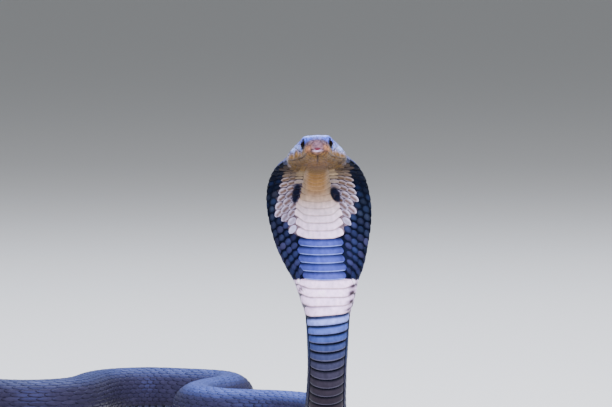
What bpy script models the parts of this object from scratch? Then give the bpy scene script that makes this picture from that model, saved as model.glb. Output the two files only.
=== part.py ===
"""Indian cobra, life-size, with its neck raised and its hood spread.

The snake faces -Y, +X is its left-hand side as it looks out, and +Z is up. The floor is z = 0.
Every length below is in millimetres along the animal, and the meshes are made in metres.

The whole animal is one loft. "Station" is the distance along its axis behind the joint of head and
neck, so the snout is at -HEAD_LENGTH and the tip of the tail at the end of the path. At each
station a closed section is drawn from a few profiles, and nodes are lengths of that loft.
"""

import math

import bpy
import numpy as np
from mathutils import Matrix

MM = 0.001
GAP = 0.3  # space kept between neighbouring pieces

# Driving sizes of the animal
HEAD_LENGTH = 38.0
HEAD_PITCH = math.radians(11.0)  # snout above the level
HEAD_ROLL = math.radians(2.5)
NECK_JOINT = (0.0, -12.0, 151.6)
CENTRING = (99.0, -80.1)  # moves the model so that its box stands over the origin

# The axis of the raised part, from the joint behind the head down to the floor
RAISED_AXIS = [
    (0.0, -2.5, 148.4),
    (0.0, 4.6, 142.0),
    (0.0, 8.6, 133.0),
    (0.0, 10.2, 121.5),
    (0.0, 9.4, 106.0),
    (0.0, 7.0, 90.0),
    (0.0, 4.0, 73.5),
    (0.0, 1.8, 57.0),
    (0.0, 2.2, 41.0),
    (0.0, 8.5, 26.5),
    (0.0, 20.5, 15.5),
]
# The way the body then takes over the floor, seen from above
FLOOR_WAY = [
    (0.0, 40.0),
    (1.0, 66.0),
    (-7.0, 90.0),
    (-28.0, 105.0),
    (-49.0, 109.0),
    (-65.0, 124.0),
    (-68.0, 147.0),
    (-60.0, 169.0),
    (-52.0, 189.0),
    (-57.0, 208.0),
    (-75.0, 219.0),
    (-97.0, 226.0),
    (-117.0, 218.0),
    (-128.0, 199.0),
    (-133.0, 177.0),
    (-145.0, 159.0),
    (-163.0, 154.0),
    (-180.0, 162.0),
    (-194.0, 179.0),
    (-211.0, 193.0),
    (-233.0, 192.0),
    (-248.0, 173.0),
    (-251.0, 145.0),
    (-246.0, 100.0),
    (-236.0, 55.0),
    (-218.0, 13.0),
    (-188.0, -22.0),
    (-147.0, -44.0),
    (-100.0, -52.0),
    (-52.0, -56.0),
    (-6.0, -68.0),
    (34.0, -76.0),
    (66.0, -68.0),
]
FLOOR_LIFT = 0.84  # height of the axis over the floor, as a share of the half width

# Profiles along the animal: (station, value)
HALF_WIDTH = [
    (-38.0, 0.0), (-37.8, 2.2), (-37.3, 3.3), (-36.3, 4.5), (-34.5, 5.5), (-31.5, 6.2), (-28.5, 6.8),
    (-25.0, 7.8), (-21.0, 9.7), (-17.0, 11.7), (-12.0, 13.7), (-8.0, 14.4), (-4.0, 14.4), (0.0, 14.5),
    (6.0, 16.9), (11.0, 20.0), (17.0, 22.8), (24.0, 25.0), (33.0, 26.2), (42.0, 25.9), (52.0, 24.2),
    (60.0, 22.1), (68.0, 19.1), (74.0, 16.2), (79.0, 14.8), (84.0, 13.5), (90.0, 11.5), (97.0, 10.7),
    (103.0, 10.4), (118.0, 9.8), (132.0, 10.0), (155.0, 11.0), (200.0, 12.4), (270.0, 13.2),
    (350.0, 13.4), (600.0, 13.3), (740.0, 12.5), (850.0, 10.8), (920.0, 9.0), (1000.0, 6.5), (1060.0, 4.5),
    (1100.0, 2.8), (1135.0, 1.4),
]
CROWN_HEIGHT = [
    (-38.0, 0.0), (-37.8, 1.4), (-37.4, 2.4), (-36.6, 3.6), (-35.0, 4.9), (-32.0, 6.3), (-28.5, 7.4),
    (-25.0, 7.9), (-18.0, 8.3), (-10.0, 8.3), (-4.0, 7.9), (0.0, 7.6), (10.0, 7.2), (25.0, 6.8),
    (50.0, 6.8), (75.0, 8.3), (88.0, 9.6), (100.0, 10.1),
]
BELLY_DEPTH = [
    (-38.0, 1.0), (-37.8, 2.0), (-37.3, 2.9), (-36.0, 4.1), (-33.0, 5.1), (-27.0, 5.7), (-18.0, 6.1),
    (-8.0, 6.5), (0.0, 7.0), (12.0, 7.7), (30.0, 8.0), (50.0, 7.8), (75.0, 8.6), (88.0, 9.2), (100.0, 9.4),
]
WIDEST_LEVEL = [
    (-38.0, -0.6), (-34.0, -1.0), (-25.0, -1.2), (-16.0, -1.4), (-8.0, -1.2), (0.0, -0.9), (10.0, -0.4),
    (20.0, 0.0), (94.0, 0.0),
]
SQUARENESS = [
    (-38.0, 2.0), (-30.0, 2.5), (-24.0, 2.7), (-14.0, 2.0), (0.0, 1.9), (15.0, 2.4), (80.0, 2.2),
    (100.0, 2.0),
]
FLANGE_SHARE = [
    (-6.0, 1.0), (4.0, 0.85), (14.0, 0.50), (28.0, 0.36), (50.0, 0.38), (66.0, 0.62), (80.0, 0.92),
    (92.0, 1.0),
]
SWAY = [
    (-38.0, -5.0), (0.0, -5.3), (15.0, -5.5), (28.0, -5.3), (37.0, -4.7), (47.0, -3.9), (57.0, -3.1),
    (66.0, -1.7), (74.0, -0.6), (84.0, 0.2), (94.0, 0.4), (115.0, 0.2), (128.0, -0.2), (140.0, -0.6),
    (175.0, 0.0),
]
ROUND_FROM = 94.0  # station from which the section is as high as it is wide
COLUMN_HALF_WIDTH = 11.5  # the throat's column, which bulges out of the spread hood
COLUMN_FALL = 1.3  # how fast the column's bulge falls off towards the hood's margins
HOOD_CUP = 2.2  # how far the hood's margins come forward
HOOD_LEAN = 0.03  # the hood reaches this share further to its left than to its right
LEAN_RANGE = 12.0  # width beyond the column over which that lean comes in
RAISED_BELLY = 0.94  # depth of the belly, as a share of the half width, where the neck is raised
FLOOR_BELLY = 0.90  # and where the body lies
SETTLING_LENGTH = 60.0  # the length over which the first share gives way to the second
LYING_FROM = 150.0  # station from which the back turns up as the body comes to lie

# Belly scutes
HOOD_BAND_START = 52.4  # station where the pale throat ends and the dark band begins
SCUTE_PITCH = [
    (-12.0, 3.6), (10.0, 4.1), (40.0, 4.15), (52.4, 4.35), (92.0, 4.4), (115.0, 4.0), (130.0, 4.0),
    (300.0, 5.3), (900.0, 5.2), (1135.0, 3.2),
]
SCUTE_HALF_ARC = [
    (-22.0, 3.8), (-12.0, 5.0), (0.0, 6.0), (15.0, 7.0), (24.0, 8.0), (30.0, 9.2), (34.0, 11.0),
    (37.0, 12.2), (45.0, 12.9), (52.0, 12.8), (55.0, 12.0), (71.0, 12.3), (77.0, 17.4), (85.0, 16.8),
    (91.0, 15.4), (96.0, 12.6), (102.0, 10.4), (110.0, 10.0), (150.0, 10.8), (300.0, 13.0), (740.0, 12.2),
    (925.0, 9.0), (1135.0, 1.5),
]
SCUTE_RELIEF = 0.55
LYING_SCUTES_MERGED = 2  # real scutes to each plate on the lengths that lie on the floor
SCUTE_STEP = 0.15  # half the length over which one scute's free edge drops to the next scute
SCUTE_BOW = 1.0  # the free edge curves this far towards the tail at the middle

# Pieces of the head
EYE_RADIUS = 2.2
EYE_PLACE = (-26.2, 5.7, 2.9)  # station, out to the side, up
NOSTRIL_PLACE = (-35.0, 5.0, 1.9)
NOSTRIL_RADIUS = 0.85
MOUTH_CORNER = -10.0
MOUTH_LINE = [
    (-39.0, -1.2), (-37.7, -1.4), (-36.8, -1.9), (-35.0, -2.5), (-32.0, -2.9), (-27.0, -3.2),
    (-19.0, -3.2), (MOUTH_CORNER, -2.8),
]

JAW_END_SLANT = 1.5  # the cut behind the lower jaw runs this much forward on its way down
BLOCK_HALF_WIDTH = 18.0

# Where the animal is divided, by station
HOOD_END = 92.0
NECK_END = 152.0
BODY_LENGTHS = 8
VENT = 925.0
TAIL_SPLIT = 1025.0


def profile(keys, at):
    """A smooth curve through (station, value) pairs, level before the first and after the last."""
    x, y = np.array(keys, float).T
    slope = np.gradient(y, x)
    i = np.clip(np.searchsorted(x, at, side="right") - 1, 0, len(x) - 2)
    h = x[i + 1] - x[i]
    t = np.clip((at - x[i]) / h, 0.0, 1.0)
    rise = (1 + 2 * t) * (1 - t) ** 2 * y[i] + t**2 * (3 - 2 * t) * y[i + 1]
    return rise + h * (t * (1 - t) ** 2 * slope[i] - t**2 * (1 - t) * slope[i + 1])


def smooth_path(points, start_direction, step=0.5):
    """Points every step along the cubic spline through the points, which leaves the first as told."""
    p = np.array(points, float)
    h = np.linalg.norm(np.diff(p, axis=0), axis=1)
    n = len(p)
    system = np.zeros((n, n))
    right = np.zeros((n, 3))
    system[0, 0] = 1.0
    right[0] = start_direction
    for i in range(1, n - 1):
        system[i, i - 1] = 1 / h[i - 1]
        system[i, i] = 2 / h[i - 1] + 2 / h[i]
        system[i, i + 1] = 1 / h[i]
        right[i] = 3 * ((p[i] - p[i - 1]) / h[i - 1] ** 2 + (p[i + 1] - p[i]) / h[i] ** 2)
    system[n - 1, n - 2 :] = 1.0, 2.0
    right[n - 1] = 3 * (p[-1] - p[-2]) / h[-1]
    slope = np.linalg.solve(system, right)
    pieces = []
    for i in range(n - 1):
        t = np.linspace(0.0, 1.0, 60, endpoint=i == n - 2)[:, None]
        near = (1 + 2 * t) * (1 - t) ** 2 * p[i] + t * (1 - t) ** 2 * h[i] * slope[i]
        far = t**2 * (3 - 2 * t) * p[i + 1] - t**2 * (1 - t) * h[i] * slope[i + 1]
        pieces.append(near + far)
    fine = np.concatenate(pieces)
    run = np.concatenate([[0.0], np.cumsum(np.linalg.norm(np.diff(fine, axis=0), axis=1))])
    even = np.arange(0.0, run[-1], step)
    return even, np.stack([np.interp(even, run, fine[:, k]) for k in range(3)], axis=1)


def body_path():
    """Stations and points of the axis behind the head. On the floor its height follows the half width."""
    raised = [NECK_JOINT, *RAISED_AXIS]
    run = sum(math.dist(a, b) for a, b in zip(raised, raised[1:]))
    points, last = list(raised), raised[-1]
    for x, y in FLOOR_WAY:
        run += math.hypot(x - last[0], y - last[1])
        points.append((x, y, FLOOR_LIFT * float(profile(HALF_WIDTH, np.array(run)))))
        last = points[-1]
    back = (0.0, math.cos(HEAD_PITCH), -math.sin(HEAD_PITCH))
    return smooth_path(points, back)


PATH_STATIONS, PATH_POINTS = body_path()
TAIL_END = float(PATH_STATIONS[-1])


def frames(station):
    """Point of the axis and the directions to the side and to the back, at each station."""
    ahead = np.clip(station, 0.0, None)

    def point(at):
        return np.stack([np.interp(at, PATH_STATIONS, PATH_POINTS[:, k]) for k in range(3)], axis=-1)

    along = point(np.clip(ahead + 1.0, 0.0, TAIL_END)) - point(np.clip(ahead - 1.0, 0.0, TAIL_END))
    head_back = np.array([0.0, math.cos(HEAD_PITCH), -math.sin(HEAD_PITCH)])
    along = np.where((station <= 0.0)[..., None], head_back, along)
    along /= np.linalg.norm(along, axis=-1, keepdims=True)
    on_floor = np.clip((station - LYING_FROM) / SETTLING_LENGTH, 0.0, 1.0)
    on_floor = on_floor * on_floor * (3 - 2 * on_floor)
    lean = np.stack([np.zeros_like(on_floor), 1 - on_floor, np.ones_like(on_floor)], axis=-1)
    back = lean - (lean * along).sum(-1, keepdims=True) * along
    back /= np.linalg.norm(back, axis=-1, keepdims=True)
    side = np.cross(along, back)
    roll = HEAD_ROLL * np.clip(1 - station / 25.0, 0.0, 1.0)[..., None]
    side, back = side * np.cos(roll) + back * np.sin(roll), back * np.cos(roll) - side * np.sin(roll)
    origin = point(ahead) + np.minimum(station, 0.0)[..., None] * head_back
    origin[..., 0] += profile(SWAY, station)
    return origin, side, back


def bump(place, centre, spread):
    """A smooth hill of height 1 at centre, of the given spread along each of station, side and up."""
    return np.exp(-sum(((place[k] - centre[k]) / spread[k]) ** 2 for k in range(3)))


def belly_depth(station):
    """How far the belly is below the axis."""
    plain = profile(HALF_WIDTH, station)
    settled = np.clip((station - ROUND_FROM) / SETTLING_LENGTH, 0.0, 1.0)
    round_depth = plain * (RAISED_BELLY + (FLOOR_BELLY - RAISED_BELLY) * settled)
    return np.where(station > ROUND_FROM, round_depth, profile(BELLY_DEPTH, station))


def head_relief(station, b, n):
    """How far the head stands out of the plain loft: brows, cheeks, lips, and hollows round the eyes."""
    place = (station, np.abs(b), n)
    brow = 0.95 * bump(place, (-25.8, 6.9, 6.0), (4.2, 1.8, 1.5))
    cheek = 0.5 * bump(place, (-9.0, 13.5, -2.0), (7.0, 4.0, 4.0))
    before_eye = -0.55 * bump(place, (-30.5, 6.6, 2.6), (2.6, 2.5, 2.4))
    around_eye = -0.45 * bump(place, (-26.2, 7.6, 2.8), (3.2, 2.5, 2.6))
    lip_level = profile(MOUTH_LINE, station)
    lips = 0.35 * np.exp(-(((n - lip_level) / 1.8) ** 2)) * np.clip((MOUTH_CORNER + 4 - station) / 8, 0, 1)
    return np.where(station < 2.0, brow + cheek + before_eye + around_eye + lips, 0.0)


def section(station, angle):
    """Side and back offsets of the skin. Angle 0 is the middle of the back, pi that of the belly."""
    plain = profile(HALF_WIDTH, station)
    side_sign = np.sign(np.sin(angle))
    in_hood = (station > 0.0) & (station < ROUND_FROM)
    spread = np.clip((plain - COLUMN_HALF_WIDTH) / LEAN_RANGE, 0.0, 1.0) * in_hood
    width = plain * (1 + HOOD_LEAN * side_sign * spread)
    crown = np.where(station > ROUND_FROM, plain, profile(CROWN_HEIGHT, station))
    level = profile(WIDEST_LEVEL, station)
    power = 2.0 / profile(SQUARENESS, station)
    b = width * side_sign * np.abs(np.sin(angle)) ** power
    up = np.cos(angle) > 0
    reach = np.where(up, crown - level, belly_depth(station) + level)
    flange = profile(FLANGE_SHARE, station)
    column = flange + (1 - flange) * np.exp(-COLUMN_FALL * (b / COLUMN_HALF_WIDTH) ** 2)
    n = level + np.where(up, 1.0, -1.0) * reach * column * np.abs(np.cos(angle)) ** power
    n = n - HOOD_CUP * (1 - flange) * (b / np.maximum(width, 1e-6)) ** 2
    return b, n


def skin_points(station, angle, lift=0.0):
    """World points, in millimetres, of the skin at the stations and angles, lifted off it by lift."""
    origin, side, back = frames(station)
    b, n = section(station, angle)
    level = profile(WIDEST_LEVEL, station)
    out = np.hypot(b, n - level) + 1e-9
    lift = lift + head_relief(station, b, n)
    b, n = b + lift * b / out, n + lift * (n - level) / out
    points = origin + b[..., None] * side + n[..., None] * back
    points[..., 2] = np.maximum(points[..., 2], 0.0)
    points[..., :2] += CENTRING
    return points


def scute_edges(first, last):
    """Stations where one belly scute ends and the next begins, counted both ways from the hood's band."""
    edges = [HOOD_BAND_START]
    while edges[-1] < last:
        edges.append(edges[-1] + float(profile(SCUTE_PITCH, np.array(edges[-1]))))
    while edges[0] > first:
        edges.insert(0, edges[0] - float(profile(SCUTE_PITCH, np.array(edges[0]))))
    return [e for e in edges if first < e < last]


def material(name, colour, roughness):
    made = bpy.data.materials.new(name)
    made.use_nodes = True
    shader = made.node_tree.nodes["Principled BSDF"]
    shader.inputs["Base Color"].default_value = (*colour, 1.0)
    shader.inputs["Roughness"].default_value = roughness
    made.diffuse_color = (*colour, 1.0)
    return made


def closed_object(name, rings, finish, pole_first=False):
    """A closed mesh through rings of points, its ends closed by a fan to a pole or the ring's middle."""
    count = len(rings[0])
    body = rings[1:] if pole_first else rings
    first = rings[0][0] if pole_first else np.mean(rings[0], axis=0)
    last = np.mean(rings[-1], axis=0)
    points = np.concatenate([*body, [first, last]])
    a = np.arange(count)
    b = (a + 1) % count
    faces = []
    for k in range(len(body) - 1):
        low, high = k * count, (k + 1) * count
        faces += np.stack([low + a, low + b, high + b, high + a], axis=1).tolist()
    tail = (len(body) - 1) * count
    faces += np.stack([b, a, np.full(count, len(points) - 2)], axis=1).tolist()
    faces += np.stack([tail + a, tail + b, np.full(count, len(points) - 1)], axis=1).tolist()
    mesh = bpy.data.meshes.new(name)
    mesh.from_pydata((points * MM).tolist(), [], faces)
    mesh.materials.append(finish)
    mesh.shade_smooth()
    mesh.set_sharp_from_angle(angle=math.radians(35.0))
    made = bpy.data.objects.new(name, mesh)
    bpy.context.scene.collection.objects.link(made)
    return made


def belly_window(station, angle):
    """1 over the belly scutes, falling to 0 just beyond their ends."""
    b, n = section(station, angle)
    from_middle = np.hypot(b, np.maximum(n + belly_depth(station), 0.0))
    inside = np.clip((profile(SCUTE_HALF_ARC, station) - from_middle) / 1.5 + 0.5, 0.0, 1.0)
    return np.where(np.cos(angle) < 0, inside, 0.0)


def scuted_length(name, start, end, sides, finish, merged=1):
    """A length whose belly scutes stand out as plates, each highest at its free edge towards the tail."""
    angle = np.arange(sides) * (2 * math.pi / sides)
    first, last = start + GAP / 2, end - GAP / 2
    edges = [first, *scute_edges(first + 2.0 * merged, last - 2.0 * merged)[::merged], last]
    rings = [skin_points(np.full(sides, first), angle)]
    for k in range(len(edges) - 1):
        for at, height in ((edges[k] + SCUTE_STEP, 0.0), (edges[k + 1] - SCUTE_STEP, SCUTE_RELIEF)):
            near_end = np.clip(min(at - first, last - at) / 3.0, 0.0, 1.0)
            bow = SCUTE_BOW * near_end * np.clip(-np.cos(angle), 0.0, 1.0) ** 2
            lift = height * near_end * belly_window(at + bow, angle)
            rings.append(skin_points(at + bow, angle, lift))
    rings.append(skin_points(np.full(sides, last), angle))
    return closed_object(name, rings, finish)


def head_stations():
    """Stations of the head's rings, close together round the snout."""
    near_snout = [-38.0, -37.8, -37.3, -36.6, -35.6, -34.4, -33.0]
    return near_snout + list(np.arange(-31.5, -1.0, 1.5)) + [-GAP / 2]


def ball(name, centre, radius, finish=None, segments=16, rows=10):
    """A sphere whose place is in its mesh."""
    bpy.ops.mesh.primitive_uv_sphere_add(segments=segments, ring_count=rows, radius=radius * MM)
    made = bpy.context.active_object
    made.name = name
    made.data.name = name
    made.data.transform(Matrix.Translation(centre * MM))
    if finish:
        made.data.materials.append(finish)
    made.data.shade_smooth()
    return made


def as_helper(obj):
    """A cutter: left out of the model."""
    obj.hide_render = True
    obj.display_type = "WIRE"
    return obj


def head_place(place, side_sign):
    """World point, in millimetres, of (station, side, up) in the head's own frame."""
    station, b, n = place
    origin, side, back = frames(np.array(station))
    point = origin + side_sign * b * side + n * back
    point[:2] += CENTRING
    return point


def jaw_block(name, shift):
    """A block round the lower jaw: below the mouth line and ahead of its corner, drawn in by shift."""
    ahead, under, corner = -39.5, -13.0, MOUTH_CORNER - shift
    stations = np.linspace(ahead, corner, 16)
    outline = [(s, n - shift) for s, n in zip(stations, profile(MOUTH_LINE, stations))]
    outline += [(corner - JAW_END_SLANT, under), (ahead, under)]
    corners = []
    for side_sign in (-1, 1):
        corners += [head_place((s, BLOCK_HALF_WIDTH, n), side_sign) for s, n in outline]
    count = len(outline)
    faces = [list(range(count)), list(range(2 * count - 1, count - 1, -1))]
    faces += [[i, i + count, (i + 1) % count + count, (i + 1) % count] for i in range(count)]
    mesh = bpy.data.meshes.new(name)
    mesh.from_pydata([tuple(c * MM) for c in corners], [], faces)
    made = bpy.data.objects.new(name, mesh)
    bpy.context.scene.collection.objects.link(made)
    return as_helper(made)


def boolean(obj, other, operation):
    """Applies one Boolean to obj, and leaves the other object in place."""
    cut = obj.modifiers.new(operation.lower(), "BOOLEAN")
    cut.operation = operation
    cut.object = other
    cut.solver = "EXACT"
    graph = bpy.context.evaluated_depsgraph_get()
    made = bpy.data.meshes.new_from_object(obj.evaluated_get(graph))
    obj.modifiers.clear()
    obj.data = made


def build_head(skin, jaw_finish, eye_finish):
    """The head, its lower jaw parted from it along the line of the mouth, and both eyes in their sockets."""
    sides = 36
    angle = np.arange(sides) * (2 * math.pi / sides)
    rings = [skin_points(np.full(sides, s), angle) for s in head_stations()]
    head = closed_object("head", rings, skin, pole_first=True)
    for side_sign, name in ((-1, "right"), (1, "left")):
        centre = head_place(EYE_PLACE, side_sign)
        ball(f"eye_{name}", centre, EYE_RADIUS, eye_finish)
        socket = as_helper(ball(f"socket_{name}", centre, EYE_RADIUS + GAP, segments=20, rows=12))
        boolean(head, socket, "DIFFERENCE")
        nostril_centre = head_place(NOSTRIL_PLACE, side_sign)
        nostril = as_helper(ball(f"nostril_{name}", nostril_centre, NOSTRIL_RADIUS, segments=10, rows=6))
        boolean(head, nostril, "DIFFERENCE")
    jaw = head.copy()
    jaw.data = head.data.copy()
    jaw.name = "lower_jaw"
    jaw.data.name = "lower_jaw"
    jaw.data.materials.clear()
    jaw.data.materials.append(jaw_finish)
    bpy.context.scene.collection.objects.link(jaw)
    boolean(jaw, jaw_block("jaw_block_inside", GAP), "INTERSECT")
    boolean(head, jaw_block("jaw_block_outside", 0.0), "DIFFERENCE")


def build():
    for obj in list(bpy.data.objects):
        bpy.data.objects.remove(obj)
    slate = material("slate_skin", (0.10, 0.12, 0.22), 0.45)
    crown = material("head_skin", (0.36, 0.31, 0.33), 0.45)
    throat = material("throat_skin", (0.42, 0.30, 0.18), 0.5)
    hood = material("hood_skin", (0.30, 0.27, 0.32), 0.45)
    eye = material("eye_glass", (0.01, 0.01, 0.012), 0.08)
    build_head(crown, throat, eye)
    scuted_length("hood", 0.0, HOOD_END, 30, hood)
    scuted_length("neck", HOOD_END, NECK_END, 24, slate)
    ends = np.linspace(NECK_END, VENT, BODY_LENGTHS + 1)
    for k in range(BODY_LENGTHS):
        scuted_length(f"body_{k + 1}", ends[k], ends[k + 1], 16, slate, LYING_SCUTES_MERGED)
    scuted_length("tail_base", VENT, TAIL_SPLIT, 14, slate, LYING_SCUTES_MERGED)
    scuted_length("tail_tip", TAIL_SPLIT, TAIL_END, 10, slate, LYING_SCUTES_MERGED)


build()
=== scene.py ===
# %% [markdown]
# # An Indian cobra with its hood spread
#
# The model is a life-size snake, neck raised, body lying in loose curves. Every surface of it hangs on
# one idea: a *loft*. The snake's axis is a smooth curve, and at each distance along it, its station,
# stands one closed cross-section. Skin, belly plates and back scales are all drawn on that loft, so
# they fit one another without any measuring by eye.

import math

import bpy
import numpy as np
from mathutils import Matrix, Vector


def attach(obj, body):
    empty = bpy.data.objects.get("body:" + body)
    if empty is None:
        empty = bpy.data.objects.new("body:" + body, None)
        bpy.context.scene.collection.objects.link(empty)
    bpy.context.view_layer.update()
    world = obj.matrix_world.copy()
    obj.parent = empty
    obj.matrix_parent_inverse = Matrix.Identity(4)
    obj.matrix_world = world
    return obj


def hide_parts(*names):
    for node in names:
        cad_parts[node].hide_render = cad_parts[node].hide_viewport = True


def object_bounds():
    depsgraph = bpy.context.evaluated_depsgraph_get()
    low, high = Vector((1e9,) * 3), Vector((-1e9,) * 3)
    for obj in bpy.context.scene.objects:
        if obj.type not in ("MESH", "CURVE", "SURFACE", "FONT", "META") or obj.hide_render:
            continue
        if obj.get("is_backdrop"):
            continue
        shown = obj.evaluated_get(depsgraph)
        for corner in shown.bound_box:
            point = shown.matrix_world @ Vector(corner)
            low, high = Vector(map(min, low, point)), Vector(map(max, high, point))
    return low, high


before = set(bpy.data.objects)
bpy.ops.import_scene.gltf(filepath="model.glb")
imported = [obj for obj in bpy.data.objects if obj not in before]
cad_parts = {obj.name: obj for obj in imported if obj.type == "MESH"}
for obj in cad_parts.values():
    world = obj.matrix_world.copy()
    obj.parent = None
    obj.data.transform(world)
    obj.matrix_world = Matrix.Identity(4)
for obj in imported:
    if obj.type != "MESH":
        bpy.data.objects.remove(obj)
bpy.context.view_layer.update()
flesh = [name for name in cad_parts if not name.startswith("eye")]

# %% [markdown]
# ## The shape of the animal in numbers
#
# A snake could be sculpted, but its shape is simple to write down: how wide it is at each station, how
# high its back and how deep its belly. The sizes were read off the photograph in front view and filled in
# from the species elsewhere. The first two lists are points of the axis; the others hold pairs, a station
# and millimetres, but for SQUARENESS and FLANGE_SHARE, which are plain numbers. Station 0 is the joint of
# head and neck, the snout is at -38 and the tip of the tail near 1125.

# %% Sizes along the axis
MM = 0.001
SNOUT = -38.0
HEAD_PITCH = math.radians(11.0)
HEAD_ROLL = math.radians(2.5)
ROLL_END = 25.0  # the head is rolled in full, and the roll has died out at this station
NECK_JOINT = (0.0, -12.0, 151.6)
CENTRING = (99.0, -80.1)
RAISED_AXIS = [
    (0, -2.5, 148.4), (0, 4.6, 142), (0, 8.6, 133), (0, 10.2, 121.5), (0, 9.4, 106), (0, 7, 90),
    (0, 4, 73.5), (0, 1.8, 57), (0, 2.2, 41), (0, 8.5, 26.5), (0, 20.5, 15.5),
]
FLOOR_WAY = [
    (0, 40), (1, 66), (-7, 90), (-28, 105), (-49, 109), (-65, 124), (-68, 147), (-60, 169), (-52, 189),
    (-57, 208), (-75, 219), (-97, 226), (-117, 218), (-128, 199), (-133, 177), (-145, 159), (-163, 154),
    (-180, 162), (-194, 179), (-211, 193), (-233, 192), (-248, 173), (-251, 145), (-246, 100), (-236, 55),
    (-218, 13), (-188, -22), (-147, -44), (-100, -52), (-52, -56), (-6, -68), (34, -76), (66, -68),
]
FLOOR_LIFT = 0.84  # height of the lying axis as a share of the half width
HALF_WIDTH = [
    (-38, 0), (-37.8, 2.2), (-37.3, 3.3), (-36.3, 4.5), (-34.5, 5.5), (-31.5, 6.2), (-28.5, 6.8),
    (-25, 7.8), (-21, 9.7), (-17, 11.7), (-12, 13.7), (-8, 14.4), (-4, 14.4), (0, 14.5), (6, 16.9),
    (11, 20), (17, 22.8), (24, 25), (33, 26.2), (42, 25.9), (52, 24.2), (60, 22.1), (68, 19.1), (74, 16.2),
    (79, 14.8), (84, 13.5), (90, 11.5), (97, 10.7), (103, 10.4), (118, 9.8), (132, 10), (155, 11),
    (200, 12.4), (270, 13.2), (350, 13.4), (600, 13.3), (740, 12.5), (850, 10.8), (920, 9), (1000, 6.5),
    (1060, 4.5), (1100, 2.8), (1135, 1.4),
]
CROWN_HEIGHT = [
    (-38, 0), (-37.8, 1.4), (-37.4, 2.4), (-36.6, 3.6), (-35, 4.9), (-32, 6.3), (-28.5, 7.4), (-25, 7.9),
    (-18, 8.3), (-10, 8.3), (-4, 7.9), (0, 7.6), (10, 7.2), (25, 6.8), (50, 6.8), (75, 8.3), (88, 9.6),
    (100, 10.1),
]
BELLY_DEPTH = [
    (-38, 1), (-37.8, 2), (-37.3, 2.9), (-36, 4.1), (-33, 5.1), (-27, 5.7), (-18, 6.1), (-8, 6.5), (0, 7),
    (12, 7.7), (30, 8), (50, 7.8), (75, 8.6), (88, 9.2), (100, 9.4),
]
WIDEST_LEVEL = [
    (-38, -0.6), (-34, -1), (-25, -1.2), (-16, -1.4), (-8, -1.2), (0, -0.9), (10, -0.4), (20, 0), (94, 0),
]
SQUARENESS = [
    (-38, 2), (-30, 2.5), (-24, 2.7), (-14, 2), (0, 1.9), (15, 2.4), (80, 2.2), (100, 2),
]
FLANGE_SHARE = [
    (-6, 1), (4, 0.85), (14, 0.50), (28, 0.36), (50, 0.38), (66, 0.62), (80, 0.92), (92, 1),
]
SWAY = [
    (-38, -5), (0, -5.3), (15, -5.5), (28, -5.3), (37, -4.7), (47, -3.9), (57, -3.1), (66, -1.7),
    (74, -0.6), (84, 0.2), (94, 0.4), (115, 0.2), (128, -0.2), (140, -0.6), (175, 0),
]
ROUND_FROM, COLUMN_HALF_WIDTH, COLUMN_FALL = 94.0, 11.5, 1.3
HOOD_CUP, HOOD_LEAN, LEAN_RANGE = 2.2, 0.03, 12.0
RAISED_BELLY, FLOOR_BELLY, SETTLING_LENGTH, LYING_FROM = 0.94, 0.90, 60.0, 150.0
MOUTH_CORNER = -10.0
MOUTH_LINE = [
    (-39, -1.2), (-37.7, -1.4), (-36.8, -1.9), (-35, -2.5), (-32, -2.9), (-27, -3.2), (-19, -3.2),
    (MOUTH_CORNER, -2.8),
]
SCUTE_HALF_ARC = [
    (-22, 3.8), (-12, 5), (0, 6), (15, 7), (24, 8), (30, 9.2), (34, 11), (37, 12.2), (45, 12.9), (52, 12.8),
    (55, 12.7), (60, 12.9), (67.4, 12.7), (72.2, 12), (76, 17.3), (77, 18.2), (85, 17.4), (91, 15.8),
    (96, 14), (101, 12.8), (106, 11.8), (111, 11.2), (150, 11.6), (300, 13), (740, 12.2), (925, 9),
    (1135, 1.5),
]
HOOD_BAND_START = 52.4
SCUTE_PITCH = [
    (-12, 3.6), (10, 4.1), (40, 4.15), (52.4, 4.27), (92, 4.3), (115, 4), (130, 4), (300, 5.3), (900, 5.2),
    (1135, 3.2),
]
VENT = 925.0
SPLINE_STEPS, HALF_STEPS = 60, 360  # points on each piece of the axis, steps of angle round half a section


# %% Reading a size off its list
def cubic(t, span, ends, slopes):
    """Cubic from one value to the next, with a given slope at each of them; t runs from 0 to 1."""
    near = (1 + 2 * t) * (1 - t) ** 2 * ends[0] + t * (1 - t) ** 2 * span * slopes[0]
    return near + t**2 * (3 - 2 * t) * ends[1] - t**2 * (1 - t) * span * slopes[1]


def profile(keys, at):
    """A smooth curve through the pairs: between two keys a cubic with the slopes of the list."""
    x, y = np.array(keys, float).T
    slope = np.gradient(y, x)
    i = np.clip(np.searchsorted(x, at, side="right") - 1, 0, len(x) - 2)
    h = x[i + 1] - x[i]
    return cubic(np.clip((at - x[i]) / h, 0.0, 1.0), h, (y[i], y[i + 1]), (slope[i], slope[i + 1]))


def ease(value, low, high):
    """0 below low, 1 above high, and between them t squared times (3 - 2 t), which starts and ends level."""
    t = np.clip((value - low) / (high - low), 0.0, 1.0)
    return t * t * (3 - 2 * t)


def between(value, low, full, fall, end):
    """Rises from 0 at low to 1 at full, stays there, and falls from fall to 0 at end."""
    return ease(value, low, full) * (1 - ease(value, fall, end))


def bell(value, middle, spread, power=2):
    """A hill of height 1: e to the minus (distance over spread) squared; power 4 has a flatter top."""
    return np.exp(-(((value - middle) / spread) ** power))


def unit(vector):
    """The same direction with length 1."""
    return vector / (np.linalg.norm(vector, axis=-1, keepdims=True) + 1e-12)


print("hood is", 2 * float(profile(HALF_WIDTH, np.array(33.0))), "mm wide")

# %% [markdown]
# ## The axis
#
# The backbone rises from the floor, leans back under the hood and turns forward into the head. It could
# be a Blender curve, but a cubic spline solved with numpy gives the same smoothness and, more usefully,
# the exact point at any station.


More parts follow.
